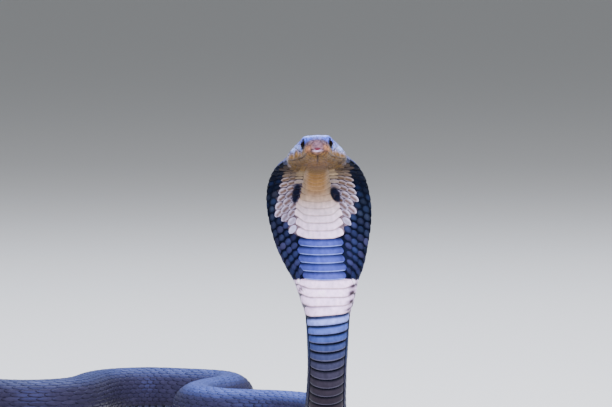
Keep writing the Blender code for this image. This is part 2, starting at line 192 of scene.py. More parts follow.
# %% The backbone as a spline
def smooth_path(points, start_direction, step=0.5):
    """Cubic spline: slopes at the points solve one linear system that makes its curvature continuous."""
    p = np.array(points, float)
    h = np.linalg.norm(np.diff(p, axis=0), axis=1)
    n = len(p)
    system, right = np.zeros((n, n)), np.zeros((n, 3))
    inner = np.arange(1, n - 1)
    system[0, 0] = 1.0
    system[inner, inner - 1] = 1 / h[:-1]
    system[inner, inner] = 2 / h[:-1] + 2 / h[1:]
    system[inner, inner + 1] = 1 / h[1:]
    system[n - 1, n - 2 :] = 1.0, 2.0
    pull = np.diff(p, axis=0) / h[:, None] ** 2
    right[0] = start_direction
    right[1:-1] = 3 * (pull[:-1] + pull[1:])
    right[-1] = 3 * (p[-1] - p[-2]) / h[-1]
    slope = np.linalg.solve(system, right)
    t = np.linspace(0.0, 1.0, SPLINE_STEPS)[None, :, None]
    fine = cubic(t, h[:, None, None], (p[:-1, None], p[1:, None]), (slope[:-1, None], slope[1:, None]))
    fine = fine.reshape(-1, 3)
    run = np.concatenate([[0.0], np.cumsum(np.linalg.norm(np.diff(fine, axis=0), axis=1))])
    even = np.arange(0.0, run[-1], step)
    return even, np.stack([np.interp(even, run, fine[:, k]) for k in range(3)], axis=1)


raised = np.array([NECK_JOINT, *RAISED_AXIS])
floor_way = np.array([raised[-1, :2], *FLOOR_WAY], float)
floor_run = np.cumsum(np.linalg.norm(np.diff(floor_way, axis=0), axis=1))
floor_run += np.linalg.norm(np.diff(raised, axis=0), axis=1).sum()
floor_points = np.column_stack([floor_way[1:], FLOOR_LIFT * profile(HALF_WIDTH, floor_run)])
HEAD_BACK = np.array([0.0, math.cos(HEAD_PITCH), -math.sin(HEAD_PITCH)])
PATH_STATIONS, PATH_POINTS = smooth_path(np.concatenate([raised, floor_points]), HEAD_BACK)
TAIL_END = float(PATH_STATIONS[-1])
print("snout to tail:", round(TAIL_END - SNOUT), "mm")

# %% [markdown]
# ## The cross-section
#
# Behind the head a cobra's ribs fold out and carry the skin into a thin hood, with the throat standing
# out of it as a rounded column. One formula covers the whole animal: a rounded box of the listed width
# and heights, thinned towards its sides where the hood is spread, with margins that come forward.


# %% Frames and sections
def frames(station):
    """Axis point, sideways and backward directions: the back leans skyward and is square to the axis."""
    ahead = np.clip(station, 0.0, None)

    def point(at):
        return np.stack([np.interp(at, PATH_STATIONS, PATH_POINTS[:, k]) for k in range(3)], axis=-1)

    along = point(np.clip(ahead + 1.0, 0.0, TAIL_END)) - point(np.clip(ahead - 1.0, 0.0, TAIL_END))
    along = unit(np.where((station <= 0.0)[..., None], HEAD_BACK, along))
    lying = ease(station, LYING_FROM, LYING_FROM + SETTLING_LENGTH)
    lean = np.stack([np.zeros_like(lying), 1 - lying, np.ones_like(lying)], axis=-1)
    back = unit(lean - (lean * along).sum(-1, keepdims=True) * along)
    side = np.cross(along, back)
    roll = HEAD_ROLL * np.clip(1 - station / ROLL_END, 0.0, 1.0)[..., None]
    side, back = side * np.cos(roll) + back * np.sin(roll), back * np.cos(roll) - side * np.sin(roll)
    origin = point(ahead) + np.minimum(station, 0.0)[..., None] * HEAD_BACK
    origin[..., 0] += profile(SWAY, station)
    return origin, side, back


def belly_depth(station):
    """Depth of the belly under the axis: listed to the end of the hood, then a share of the half width."""
    settled = np.clip((station - ROUND_FROM) / SETTLING_LENGTH, 0.0, 1.0)
    share = RAISED_BELLY + (FLOOR_BELLY - RAISED_BELLY) * settled
    return np.where(station > ROUND_FROM, profile(HALF_WIDTH, station) * share, profile(BELLY_DEPTH, station))


def section(station, angle):
    """Side and back offsets: width times sine and height times cosine, each to the power 2 / squareness."""
    plain = profile(HALF_WIDTH, station)
    side_sign = np.sign(np.sin(angle))
    in_hood = (station > 0.0) & (station < ROUND_FROM)
    spread = np.clip((plain - COLUMN_HALF_WIDTH) / LEAN_RANGE, 0.0, 1.0) * in_hood
    width = plain * (1 + HOOD_LEAN * side_sign * spread)
    crown = np.where(station > ROUND_FROM, plain, profile(CROWN_HEIGHT, station))
    level = profile(WIDEST_LEVEL, station)
    power = 2.0 / profile(SQUARENESS, station)
    b = width * side_sign * np.abs(np.sin(angle)) ** power
    up = np.cos(angle) > 0
    reach = np.where(up, crown - level, belly_depth(station) + level)
    flange = profile(FLANGE_SHARE, station)
    column = flange + (1 - flange) * np.exp(-COLUMN_FALL * (b / COLUMN_HALF_WIDTH) ** 2)
    n = level + np.where(up, 1.0, -1.0) * reach * column * np.abs(np.cos(angle)) ** power
    return b, n - HOOD_CUP * (1 - flange) * (b / np.maximum(width, 1e-6)) ** 2


# %% [markdown]
# ## Brows, cheeks and lips
#
# A real head isn't a plain loft: a brow ridge roofs each eye, the jaw muscles swell behind it, and the
# lips stand out along the mouth. They are added as smooth hills and hollows on the loft, each a bell
# curve round its own place, which is how a sculptor would push clay from inside.


# %% Relief of the head
def bump(place, centre, spread):
    """A hill of height 1: e to the minus sum of squared distances, each measured in its own spread."""
    return np.exp(-sum(((place[k] - centre[k]) / spread[k]) ** 2 for k in range(3)))


def head_relief(station, b, n):
    """Millimetres that brows, cheeks and lips stand out, less the hollows ahead of and round the eyes."""
    place = (station, np.abs(b), n)
    brow = 0.95 * bump(place, (-25.8, 6.9, 6.0), (4.2, 1.8, 1.5))
    cheek = 0.5 * bump(place, (-9.0, 13.5, -2.0), (7.0, 4.0, 4.0))
    before_eye = -0.55 * bump(place, (-30.5, 6.6, 2.6), (2.6, 2.5, 2.4))
    around_eye = -0.45 * bump(place, (-26.2, 7.6, 2.8), (3.2, 2.5, 2.6))
    lips = 0.35 * bell(n, profile(MOUTH_LINE, station), 1.8)
    lips = lips * np.clip((MOUTH_CORNER + 4 - station) / 8, 0, 1)
    return np.where(station < 2.0, brow + cheek + before_eye + around_eye + lips, 0.0)


def skin_points(station, angle, lift=0.0):
    """World points in millimetres: axis point plus b sideways plus n backward, pushed outward by lift."""
    origin, side, back = frames(station)
    b, n = section(station, angle)
    level = profile(WIDEST_LEVEL, station)
    out = np.hypot(b, n - level) + 1e-9
    lift = lift + head_relief(station, b, n)
    b, n = b + lift * b / out, n + lift * (n - level) / out
    points = origin + b[..., None] * side + n[..., None] * back
    points[..., 2] = np.maximum(points[..., 2], 0.0)
    points[..., :2] += CENTRING
    return points


# %% [markdown]
# ## A map of the skin
#
# Scales must keep their size wherever they grow, so they can't be placed by angle: on the flat hood one
# degree is far longer than on the neck. The skin is therefore mapped once by *distance*. `around` runs
# from 0 at the middle of the back to 1 at the middle of the belly, positive on the snake's left, and
# equal steps of it are equal lengths of skin.


# %% Even steps round each section
def even_angles(stations, around):
    """Angles at given shares of each section's own length, by inverting its running length."""
    angle = np.linspace(-math.pi, math.pi, 2 * HALF_STEPS + 1)
    b, n = section(stations[:, None], angle[None, :])
    run = np.cumsum(np.hypot(np.diff(b, axis=1), np.diff(n, axis=1)), axis=1)
    run = np.concatenate([np.zeros((len(stations), 1)), run], axis=1)
    total, middle = run[:, -1], run[:, HALF_STEPS, None]
    share = (run - middle) / np.maximum(np.where(run < middle, middle, total[:, None] - middle), 1e-9)
    offset = 4.0 * np.arange(len(stations))[:, None]
    found = np.interp((around + offset).ravel(), (share + offset).ravel(), np.tile(angle, len(stations)))
    return found.reshape(len(stations), -1), total / 2


MAP_STEP, MAP_COLUMNS = 1.0, 321
map_stations = np.arange(SNOUT + 1, TAIL_END, MAP_STEP)
map_around = np.linspace(-1.0, 1.0, MAP_COLUMNS)
map_angle, map_half = even_angles(map_stations, map_around[None, :])
map_s = np.broadcast_to(map_stations[:, None], map_angle.shape)
map_points = skin_points(map_s, map_angle)
map_b, _ = section(map_s, map_angle)
map_normal = unit(np.cross(np.gradient(map_points, axis=1), np.gradient(map_points, axis=0)))
print("skin map:", map_points.shape, "half the way round the hood:", round(float(map_half[70]), 1), "mm")


# %% Looking up the map
def look_up(table, station, around):
    """Value at (station, around): the four nearest entries weighted by how near each one is."""
    i = np.clip((station - map_stations[0]) / MAP_STEP, 0, len(map_stations) - 1.001)
    j = np.clip((around + 1) / 2 * (len(map_around) - 1), 0, len(map_around) - 1.001)
    i0, j0 = i.astype(int), j.astype(int)
    u, v = i - i0, j - j0
    if table.ndim == 3:
        u, v = u[..., None], v[..., None]
    top = table[i0, j0] * (1 - v) + table[i0, j0 + 1] * v
    return top * (1 - u) + (table[i0 + 1, j0] * (1 - v) + table[i0 + 1, j0 + 1] * v) * u


def on_skin(station, around, lift):
    """World point in metres: the mapped point plus lift millimetres along the mapped outward direction."""
    normal = unit(look_up(map_normal, station, around))
    points = look_up(map_points, station, around) + normal * lift[..., None]
    points[..., 2] = np.maximum(points[..., 2], 0.0)
    return points * MM


def half_round(station):
    """Length of skin in millimetres from the middle of the back to the middle of the belly."""
    return np.interp(station, map_stations, map_half)


# %% [markdown]
# ## From arrays to a mesh
#
# Thousands of scales would be slow as separate objects, and instances are lost when a model is exported.
# One mesh made straight from arrays is quick and keeps everything. Each vertex also carries its colour,
# and coats carry a second map that says where on the skin each scale grows.


# %% Mesh and colour helpers
def linear(code):
    """Linear colour of an sRGB hex code: each share below 0.04045 over 12.92, else to the power 2.4."""
    share = np.array([int(code[k : k + 2], 16) for k in (1, 3, 5)]) / 255
    return np.where(share <= 0.04045, share / 12.92, ((share + 0.055) / 1.055) ** 2.4)


def blend(first, second, share):
    """Colour between two: first plus share times the difference."""
    return first + (second - first) * np.asarray(share)[..., None]


def paint(colour, coats):
    """Colour under thin coats, each a colour or its hex code and how much of what lies below it hides."""
    for dye, share in coats:
        colour = blend(colour, linear(dye) if isinstance(dye, str) else dye, share)
    return colour


def ramp(stations, keys):
    """Colour along the body, run straight from key to key."""
    at = [key[0] for key in keys]
    colours = np.array([linear(key[1]) for key in keys])
    return np.stack([np.interp(stations, at, colours[:, k]) for k in range(3)], axis=-1)


def add_object(name, data):
    """An object that holds the data, put in the scene."""
    made = bpy.data.objects.new(name, data)
    bpy.context.scene.collection.objects.link(made)
    return made


def make_mesh(name, points, faces, tint=None, bake=None):
    """Object from arrays: faces is a list of (n, 3) and (n, 4) index arrays, wound outward."""
    mesh = bpy.data.meshes.new(name)
    corner = np.concatenate([f.ravel() for f in faces])
    sizes = np.concatenate([np.full(len(f), f.shape[1]) for f in faces])
    mesh.vertices.add(len(points))
    mesh.vertices.foreach_set("co", np.ascontiguousarray(points, np.float32).ravel())
    mesh.loops.add(len(corner))
    mesh.loops.foreach_set("vertex_index", corner.astype(np.int32))
    mesh.polygons.add(len(sizes))
    mesh.polygons.foreach_set("loop_start", np.concatenate([[0], np.cumsum(sizes)[:-1]]).astype(np.int32))
    mesh.update(calc_edges=True)
    if tint is not None:
        layer = mesh.color_attributes.new("tint", "FLOAT_COLOR", "POINT")
        rgba = np.concatenate([np.clip(tint, 0, 1), np.ones((len(points), 1))], axis=1)
        layer.data.foreach_set("color", rgba.astype(np.float32).ravel())
    if bake is not None:
        layer = mesh.uv_layers.new(name="OFBake")
        layer.data.foreach_set("uv", bake[corner].astype(np.float32).ravel())
    mesh.shade_smooth()
    print(f"{name}: {int((sizes - 2).sum())} triangles")
    return add_object(name, mesh)


def ring_faces(rows, count, first=0):
    """Quads between neighbouring rings of points, wound so that they face away from the axis."""
    a = np.arange(count)
    b = (a + 1) % count
    low = first + np.arange(rows - 1)[:, None] * count
    return np.stack([low + a, low + b, low + count + b, low + count + a], axis=-1).reshape(-1, 4)


def cap_faces(first, count, hub, turned=False):
    """Triangles from a ring of points to one hub point; turned ones are wound the other way."""
    a = np.arange(count)
    b = (a + 1) % count
    if turned:
        a, b = b, a
    return np.stack([first + a, first + b, np.full(count, hub)], axis=1)


# %% [markdown]
# ## Markings
#
# A cobra's scales are dyed, not painted: each holds one main colour, so a marking's edge is a staircase
# of scales. Skin and back scales share one function of station and place round the body; belly plates
# have colours of their own that meet it. Below the pale throat come a slate band and a cream band.

# %% Where each marking lies
THROAT_PATCH = [  # how far the pale throat reaches to each side, in millimetres over the skin
    (-16, 18), (0, 16.6), (5, 16.2), (10, 16.8), (15, 17.5), (20, 18.4), (25, 19.5), (30, 20.5), (35, 21.3),
    (39, 21.6), (41, 19.7), (43, 17.8), (45, 16.8), (48, 15.3), (51, 13.9), (52.4, 13.4),
]
BAND_CREAM = (73.8, 90.9)  # stations where the cream band starts and ends
SPOTS = [  # station, distance from mid-belly, half length, half width and lean of each dark spot
    (28.4, 9.7, 5.4, 2.5, 0.20),
    (27.6, -11.0, 6.8, 2.1, 0.22),
]
PATCH_SHIFT = 1.5  # the pale patch lies this far to the snake's right, in millimetres
SPOT_DYE = "#080b16"
RING_ASIDE, RING_STATION, RING_RADIUS = 9.0, 32.0, 4.6  # the two rings of the mark on the hood's back
BRIDGE_FROM, BRIDGE_LENGTH = 36.0, 17.0

# Throat plate colours: darker towards the head, partly the throat's own ochre and partly painted shade under
# the head
THROAT_DYE_AND_SHADE = [
    (-14, "#4a3820"), (0, "#5a4522"), (8, "#74552a"), (18, "#8f693a"), (25, "#a37d53"), (31, "#c4a48d"),
    (38, "#ecd2e0"), (46, "#f8daf9"), (52, "#f9d8ff"),
]
FLANK_DYE = [
    (-14, "#4a3818"), (0, "#56411c"), (8, "#4d3e2c"), (13, "#67594b"), (18, "#8f7f74"), (25, "#a8969a"),
    (36, "#c2b2cc"), (52, "#b6b4e0"),
]
# Belly plate colours from the slate band on; from station 99 they darken towards the floor, partly the neck's
# own colour and partly painted shade
NECK_DYE_AND_SHADE = [
    (52, "#4c55b0"), (70, "#3f49a2"), (74, "#5154aa"), (75, "#fcd8ff"), (90.5, "#f8d6ff"),
    (91.5, "#a3aefc"), (95, "#6474c4"), (99, "#3d4f94"), (106, "#353f6c"), (113, "#33344a"),
    (120, "#2e2932"), (135, "#292022"), (145, "#261d1b"), (170, "#2b2a3c"), (400, "#37384f"),
    (1130, "#3e4257"),
]
# Back colours along the body; the bright blue from station 200 to 430 is partly painted sky sheen for the
# lying body's top line
BACK_DYE_AND_SHEEN = [
    (-14, "#7f829b"), (0, "#6b6e92"), (8, "#494d70"), (15, "#1c2138"), (25, "#0f1424"), (60, "#12182c"),
    (85, "#1b2238"), (110, "#1f263e"), (150, "#282c50"), (200, "#4e5ea6"), (430, "#39426e"),
    (560, "#363b58"), (1130, "#2e3146"),
]


def from_belly(station, around):
    """Millimetres over the skin from the middle of the belly, plus on the snake's left."""
    return np.sign(around + 1e-9) * (1 - np.abs(around)) * half_round(station)


def in_patch(station, distance):
    """1 on the pale throat, 0 off it; at its lower end it follows the last pale plate's upturned ends."""
    reach = np.abs(distance + PATCH_SHIFT * ease(station, 16, 30))
    end = HOOD_BAND_START - 0.9 * ease(reach, 6.5, 11) - 1.8 * ease(reach, 12.4, 13.2)
    return ease(profile(THROAT_PATCH, station) - reach, -0.15, 0.15) * (station < end)


def spot(station, distance):
    """1 inside the throat spots: ovals whose upper ends lean towards the middle."""
    shade = np.zeros(np.broadcast(station, distance).shape)
    for at, out, half_long, half_wide, lean in SPOTS:
        x = (distance - out - np.sign(out) * lean * (station - at)) / half_wide
        y = (station - at) / half_long
        shade = np.maximum(shade, 1 - ease(np.hypot(x, y), 0.8, 1.15))
    return shade


def markings(station, around):
    """Linear colour of back and flank scales: dark ones and pale ones, then the cream band and the spots."""
    distance, off_back = from_belly(station, around), np.abs(around)
    reach = np.abs(distance)
    margin = ease(off_back, 0.46, 0.52) * (1 - ease(station, 84, 96))
    margin_dye = blend(linear("#05070c"), linear("#10151f"), ease(station, 22, 38))
    dark = paint(ramp(station, BACK_DYE_AND_SHEEN), [
        # painted sky sheen: the lying body keeps the bright blue only along its top line, and its sides are
        # painted darker
        ("#272331", ease(off_back, 0.05, 0.33) * ease(station, 130, 180) * 0.93),
        # painted shade: the lying body's lower sides darker towards the floor
        ("#2b2530", ease(off_back, 0.45, 0.75) * ease(station, 120, 170) * 0.7),
        (margin_dye, margin * ease(station, -3, 5) * (1 - 0.5 * ease(station, 30, 50))),
        ("#151d3c", ease(23 - reach, 0, 8) * between(station, 34, 52, 74, 80) * 0.75),
        ("#27304f", ease(off_back, 0.45, 0.6) * between(station, 90, 94, 105, 125) * 0.8),
        # partly painted shade: the neck's lower sides darker where it comes down to the floor
        ("#242230", ease(off_back, 0.42, 0.6) * between(station, 106, 120, 150, 170) * 0.85),
    ])
    flank = paint(ramp(station, FLANK_DYE), [
        ("#826f54", ease(10 - reach, 0, 1.5) * between(station, -2, 6, 26, 34) * 0.8),
        # painted shade under the jaw: a dark smudge at the top corners of the pale throat
        ("#1c1410", bell(reach, 13.5, 3) * bell(station, 5, 4) * 0.6),
        # partly the skin's own pale lilac, partly painted highlight where the hood's top edge faces the sky
        ("#a3a3c4", ease(reach, 13.6, 15.6) * (1 - ease(station, 0, 4)) * 0.35),
    ])
    low, high = BAND_CREAM
    cream = between(station, low - 0.2, low + 0.2, high - 0.5, high + 0.3) * ease(off_back, 0.32, 0.5)
    marks = [(flank, in_patch(station, distance)), ("#e8d6ee", cream), (SPOT_DYE, spot(station, distance))]
    return paint(dark, marks)


def spectacle(station, around, b):
    """1 on the pale mark of the hood's back: two rings and the half ellipse that joins them below."""
    ring = np.abs(np.hypot(np.abs(b) - RING_ASIDE, station - RING_STATION) - RING_RADIUS)
    bridge = np.abs(np.hypot(b / RING_ASIDE, (station - BRIDGE_FROM) / BRIDGE_LENGTH) - 1) * 10
    bridge = np.where(station > BRIDGE_FROM, bridge, 9.0)
    return (1 - ease(np.minimum(ring, bridge), 0.7, 1.7)) * (np.abs(around) < 0.5)


print("throat spots are", [f"{2 * size[2]} by {2 * size[3]} mm" for size in SPOTS])

# %% [markdown]
# ## Shields of the head
#
# A snake's head isn't covered in small scales but in a few large shields, in the same plan on every
# animal of the species. They could be cut one by one; here each is a *cell*: every point of the skin
# belongs to the seed that is nearest, and the furrow between two shields runs where two seeds are
# equally near. A long shield has several seeds.

# %% The plan of the shields
# The crown's lilac-blue is painted sky reflection over the shields' own grey-brown
LILAC_SKY_SHEEN, PINK, CHEEK, LABIAL, LIP, CHIN, BLUSH = (
    "#4a60d0", "#53454e", "#7082c8", "#7a5a28", "#64481a", "#5c4408", "#5f4547",
)
SHIELD_PLAN = [  # a dye, then the shields that have it, each a list of seeds (station, aside, height)
    (BLUSH, [[(-37.8, 0, 0.6), (-37.2, 1.7, 0.2), (-37.5, 0, 1.8)]]),
    (PINK, [[(-35, 1.6, 4.9)]]),
    ("#5f66ae", [[(-31.9, 2.4, 6.4), (-31.6, 4.4, 5.3)]]),
    (LILAC_SKY_SHEEN, [
        [(-26.2, 0, 7.9), (-24.6, 0, 8), (-27.8, 1.3, 7.6)], [(-26.2, 4.6, 7.4), (-23.8, 5.1, 7.6)],
        [(-19.5, 2.6, 8.3), (-16.5, 3.4, 8.3), (-18.5, 5.6, 8)],
    ]),
    (PINK, [[(-36, 3.8, 2.1)], [(-33.8, 4.9, 2.4)], [(-30.3, 6.1, 3.4), (-29.4, 6.3, 1.9)]]),
    (CHEEK, [[(-21.6, 8, 5.2)], [(-21.4, 9.1, 2.6)], [(-25, 8, 0.9)]]),
    ("#946448", [[(-36.4, 3.8, -0.5)]]),
    ("#946642", [[(-34.4, 5.2, -0.7)]]),
    ("#80664c", [[(-31.6, 6.2, -0.6), (-30.8, 6.3, 0.6)]]),
    (LABIAL, [
        [(-28.1, 7, -1.1)], [(-24.4, 8.3, -1.4)], [(-20.6, 10.1, -1.2), (-20.4, 10.1, 0.3)],
        [(-16.2, 12, -1.3)],
    ]),
    (CHEEK, [[(-17.6, 10.6, 4.3)], [(-17, 11.6, 1.8)], [(-14, 11.4, 5.4)], [(-13, 13, 2.8)]]),
    (LABIAL, [[(-12, 13.6, -1)]]),
    (CHEEK, [[(-12.6, 8.6, 7.1)]]),
    (LILAC_SKY_SHEEN, [[(-12, 4.6, 8.2)], [(-11.6, 1.4, 8.3)]]),
    ("#6a4d38", [[(-37.5, 0, -2.5), (-37.3, 1.3, -2.5)]]),
    (LIP, [
        [(-36.2, 2.4, -3.8)], [(-34.6, 4, -4)], [(-32, 5.2, -4.3)], [(-28.6, 6.3, -4.6)],
        [(-24.6, 7.9, -4.7)], [(-20.4, 10, -4.6)], [(-16, 12.2, -4.4)], [(-12, 13.6, -4.2)],
    ]),
    (CHIN, [
        [(-34, 1.5, -5), (-32.4, 1.7, -5.2)], [(-29, 1.7, -5.6), (-27.4, 2, -5.7)], [(-25.6, 4.7, -5.6)],
        [(-23, 1.8, -5.9)], [(-21.6, 6.2, -5.5)], [(-19.6, 2.6, -6)], [(-17.6, 7.6, -5.6)],
        [(-16.4, 0.8, -6.1)], [(-15.2, 4.2, -6.1)], [(-13.4, 8.6, -5.8)],
    ]),
]
SHIELDS = [(shade, seeds) for shade, group in SHIELD_PLAN for seeds in group]
EYE_PLACE = (-26.2, 5.7, 2.9)
EYE_RADIUS = 2.2
NOSTRIL_PLACE = (-35.0, 5.0, 1.9)
ON_MIDDLE = 0.5  # a shield with a seed nearer the middle than this is one shield across both sides
FAR = 99.0


def shield_cells(station, b, n):
    """For each point its colour, softened towards its neighbours', and the gap in mm to the next shield."""
    place = np.stack([station, np.abs(b), n], axis=-1)
    near = np.array([
        np.min([np.linalg.norm(place - np.array(seed), axis=-1) for seed in seeds], axis=0)
        for _, seeds in SHIELDS
    ])
    first, second = np.sort(near, axis=0)[:2]
    paired = np.array([min(seed[1] for seed in seeds) > ON_MIDDLE for _, seeds in SHIELDS])
    across = np.where(paired[np.argmin(near, axis=0)], 2 * np.abs(b), FAR)
    share = np.exp(-(near - first) / 0.7)
    dyes = np.array([linear(shade) for shade, _ in SHIELDS])
    return np.einsum("kij,kc->ijc", share / share.sum(axis=0), dyes), np.minimum(second - first, across)


print(len(SHIELDS), "shields a side")
# %% [markdown]
# ## One skin for the whole animal
#
# The solids are parted into head, jaw, hood and lengths of body. A living snake shows no such seams, so
# one closed skin replaces them all. Its rings are close together on the head, where the furrows between
# the shields are part of the surface, and wider apart where scales will cover it.


# %% Rings of the skin
HEAD_SIDES, BODY_SIDES = 320, 160
HEAD_ROWS, HOOD_STEP, BODY_STEP = 190, 1.2, 7.0
SUNK = -0.42  # the skin lies this far in where scales cover it, in millimetres
fine = np.linspace(SNOUT, -2.0, 4000)
slopes = [np.gradient(fine), np.gradient(profile(HALF_WIDTH, fine)), np.gradient(profile(CROWN_HEIGHT, fine))]
meridian = np.concatenate([[0.0], np.cumsum(np.sqrt(sum(slope**2 for slope in slopes))[1:])])
head_rings = np.interp(np.linspace(0.12, meridian[-1], HEAD_ROWS), meridian, fine)
hood_rings = np.arange(-1.0, ROUND_FROM, HOOD_STEP)
body_rings = np.append(np.arange(ROUND_FROM + 1, TAIL_END - 2, BODY_STEP), TAIL_END - 0.7)


def skin_rings(stations, sides):
    """Stations and angles of rings whose points are evenly spaced round each section."""
    around = np.linspace(-1.0, 1.0, sides, endpoint=False)[None, :]
    angle, _ = even_angles(stations, np.broadcast_to(around, (len(stations), sides)))
    return np.broadcast_to(stations[:, None], angle.shape), angle, np.broadcast_to(around, angle.shape)


def head_surface(station, angle):
    """Lift and colour of the head's skin: domed shields, dark furrows, mouth, nostrils and eye rims."""
    b, n = section(station, angle)
    off_middle = np.abs(b)
    colour, gap = shield_cells(station, b, n)
    furrow = bell(gap, 0, 0.34)
    lift = 0.16 * (1 - np.exp(-gap / 1.1)) - 0.14 * furrow
    high = ease(n, 2.2, 4.4)
    brow = 0.28 * bell(off_middle, 5.4, 1.2) - 0.45 * (1 - ease(off_middle, 1.5, 5))
    lift = lift + brow * high * between(station, -34, -28, -22, -14)
    colour = paint(colour, [
        # painted sky reflection: the top of the head painted lilac-blue
        (LILAC_SKY_SHEEN, high * ease(station, -37, -33) * 0.85),
        ("#363f8e", bell(n, 4.4, 0.6) * (1 - ease(off_middle, 2.6, 4.2)) * (station < -33.5) * 0.75),
        # painted highlight along the top edge of the head
        ("#a2b4ff", ease(n, 5.2, 6.6) * (1 - ease(station, -24, -14)) * 0.65),
        ("#a2bafa", ease(n + 0.08 * b, -0.8, 2.5) * ease(off_middle, 7.5, 11.5) * 0.75),
    ])
    patchy = 0.5 + 0.5 * np.sin(station * 1.9 + b * 1.3) * np.sin(n * 2.3 - b * 0.9)
    colour = blend(colour, colour * (0.40, 0.42, 0.60), patchy * ease(off_middle, 4, 8) * 0.6)
    colour = paint(colour, [
        # painted highlight: pale edges beside the furrows of the lip shields
        ("#c0a898", bell(gap, 0.65, 0.28) * ease(off_middle, 4.5, 7.5) * ease(n, -3.2, -1.6) * 0.36),
        ("#6a709c", ease(station, -22, -12) * high * 0.6),
    ])
    colour = blend(colour, colour * 0.30, furrow * 0.9)
    from_mouth = n - profile(MOUTH_LINE, station)
    in_mouth = ease(MOUTH_CORNER - station, -0.5, 1.5)
    front = station < -36.6
    slit = bell(from_mouth, 0, 0.26) * in_mouth * (1 - 0.8 * front * bell(b, 0, 2.6, 4))
    notch = bell(b, 0.1, 1.15, 4) * bell(n, -1.02, 0.36) * front
    mental = bell(b, 0, 0.28) * between(station, -36.6, -35.6, -28.5, -26) * (n < -3)
    place = np.stack([station, off_middle, n], axis=-1)
    nostril = bell(np.linalg.norm((place - NOSTRIL_PLACE) / (1, 1, 0.75), axis=-1), 0, 0.8, 4)
    eye = np.linalg.norm(place - EYE_PLACE, axis=-1) / EYE_RADIUS
    lift = lift - 0.34 * slit + 0.08 * bell(from_mouth, 0.75, 0.5) * in_mouth
    lift = lift - 0.3 * notch * ease(station, SNOUT, -37.8) - 0.3 * mental - 0.75 * nostril
    lift = lift + 0.05 * bell(eye, 1.15, 0.11) - 0.9 * (1 - ease(eye, 0.92, 1.06))
    below_brow = 1 - ease(n, 4, 4.8)
    socket = 1.02 + 0.09 * below_brow
    return lift, paint(colour, [
        # painted shade: the underside of the lower jaw painted darker brown
        ("#54390a", ease(-n, 3.4, 5.6) * ease(station, -34, -22) * 0.6),
        # painted shade in the crease of the mouth
        ("#4a3320", slit * (0.25 + 0.2 * ease(off_middle, 5, 9))),
        ("#8c6c84", bell(b, 0, 1.9) * bell(n, -1.3, 0.9) * front * 0.55),
        ("#c3b3de", bell(b, 0.1, 1.8) * bell(n, -1.75, 0.34) * front * 0.55),
        ("#4a0008", np.clip(notch * 1.5, 0, 1)),
        ("#2c1d12", mental * 0.8),
        # painted shade inside the nostril
        ("#1a1012", nostril * 0.95),
        ("#2a2c44", (1 - ease(eye, 1.2, 1.45)) * below_brow * 0.7),
        ("#050507", 1 - ease(eye, socket, socket + 0.15)),
    ])


parts = []
for stations, sides in ((head_rings, HEAD_SIDES), (hood_rings, BODY_SIDES), (body_rings, BODY_SIDES)):
    s, angle, around = skin_rings(stations, sides)
    lift, head_colour = head_surface(s, angle)
    bare = 1 - ease(s, -14, -10)
    tuck = SUNK * np.clip(profile(HALF_WIDTH, s) / 6.0, 0.2, 1.0)
    throat = in_patch(s, from_belly(s, around))
    # the skin between the scales is a darker copy of their colour: partly its own darker skin, partly painted
    # shade in the gaps
    gap = 0.20 - 0.14 * between(s, 0, 10, 80, 100) * (1 - 0.6 * ease(s, 48, 56))
    gap = gap + 0.45 * (1 - ease(s, 0, 14)) * throat
    rosy = (0.04 + 0.24 * ease(s, 33, 42)) * throat
    gap_colour = markings(s, around) * gap[..., None] + rosy[..., None] * linear("#b08f94")
    lift = lift * bare + tuck * (1 - bare)
    parts.append((skin_points(s, angle, lift), blend(gap_colour, head_colour, bare)))
points, colours = [np.concatenate([part[k].reshape(-1, 3) for part in parts]) for k in (0, 1)]
tips = np.stack([points[:HEAD_SIDES].mean(0), points[-BODY_SIDES:].mean(0)])
points = np.concatenate([points, tips]) * MM
colours = np.concatenate([colours, colours[:HEAD_SIDES].mean(0, keepdims=True), colours[-1:]])

# %% Join the head's fine rings to the body's
rows_head, rows_body = len(head_rings), len(hood_rings) + len(body_rings)
first_body = rows_head * HEAD_SIDES
last_head = first_body - HEAD_SIDES
last_body = first_body + (rows_body - 1) * BODY_SIDES
k = np.arange(BODY_SIDES)
here, there = last_head + 2 * k, first_body + k
mid, over = here + 1, last_head + (2 * k + 2) % HEAD_SIDES
there_over = first_body + (k + 1) % BODY_SIDES
skin_faces = [
    ring_faces(rows_head, HEAD_SIDES),
    ring_faces(rows_body, BODY_SIDES, first_body),
    np.stack([here, mid, there], axis=1),
    np.stack([mid, over, there_over, there], axis=1),
    cap_faces(0, HEAD_SIDES, len(points) - 2, turned=True),
    cap_faces(last_body, BODY_SIDES, len(points) - 1),
]
skin = make_mesh("skin", points, skin_faces, colours)

# %% [markdown]
# ## Belly plates
#
# Under a snake runs one broad plate to each rib pair. Each overlaps the next, so what shows is a smooth
# strip, a free rear edge that stands out a little, and a dark step under it. A bevelled strip repeated by
# an array modifier would do on a straight neck; on a curving one each plate is better worked out on the
# map of the skin, all of them in one go.


# %% Edges of the plates
def plate_edges(first, last):
    """Stations of the free edges, stepped both ways from the start of the slate band."""
    edges = [HOOD_BAND_START]
    while edges[-1] < last:
        edges.append(edges[-1] + float(profile(SCUTE_PITCH, np.array(edges[-1]))))
    while edges[0] > first:
        edges.insert(0, edges[0] - float(profile(SCUTE_PITCH, np.array(edges[0]))))
    return np.array(edges)


edges = plate_edges(-25.0, TAIL_END - 3.0)
rng = np.random.default_rng(7)
plate_front, plate_end = edges[:-1], edges[1:]
keep = (plate_front > -22.0) & (plate_end < TAIL_END - 4.0)
plate_front, plate_end = plate_front[keep], plate_end[keep]
print(len(plate_front), "belly plates")

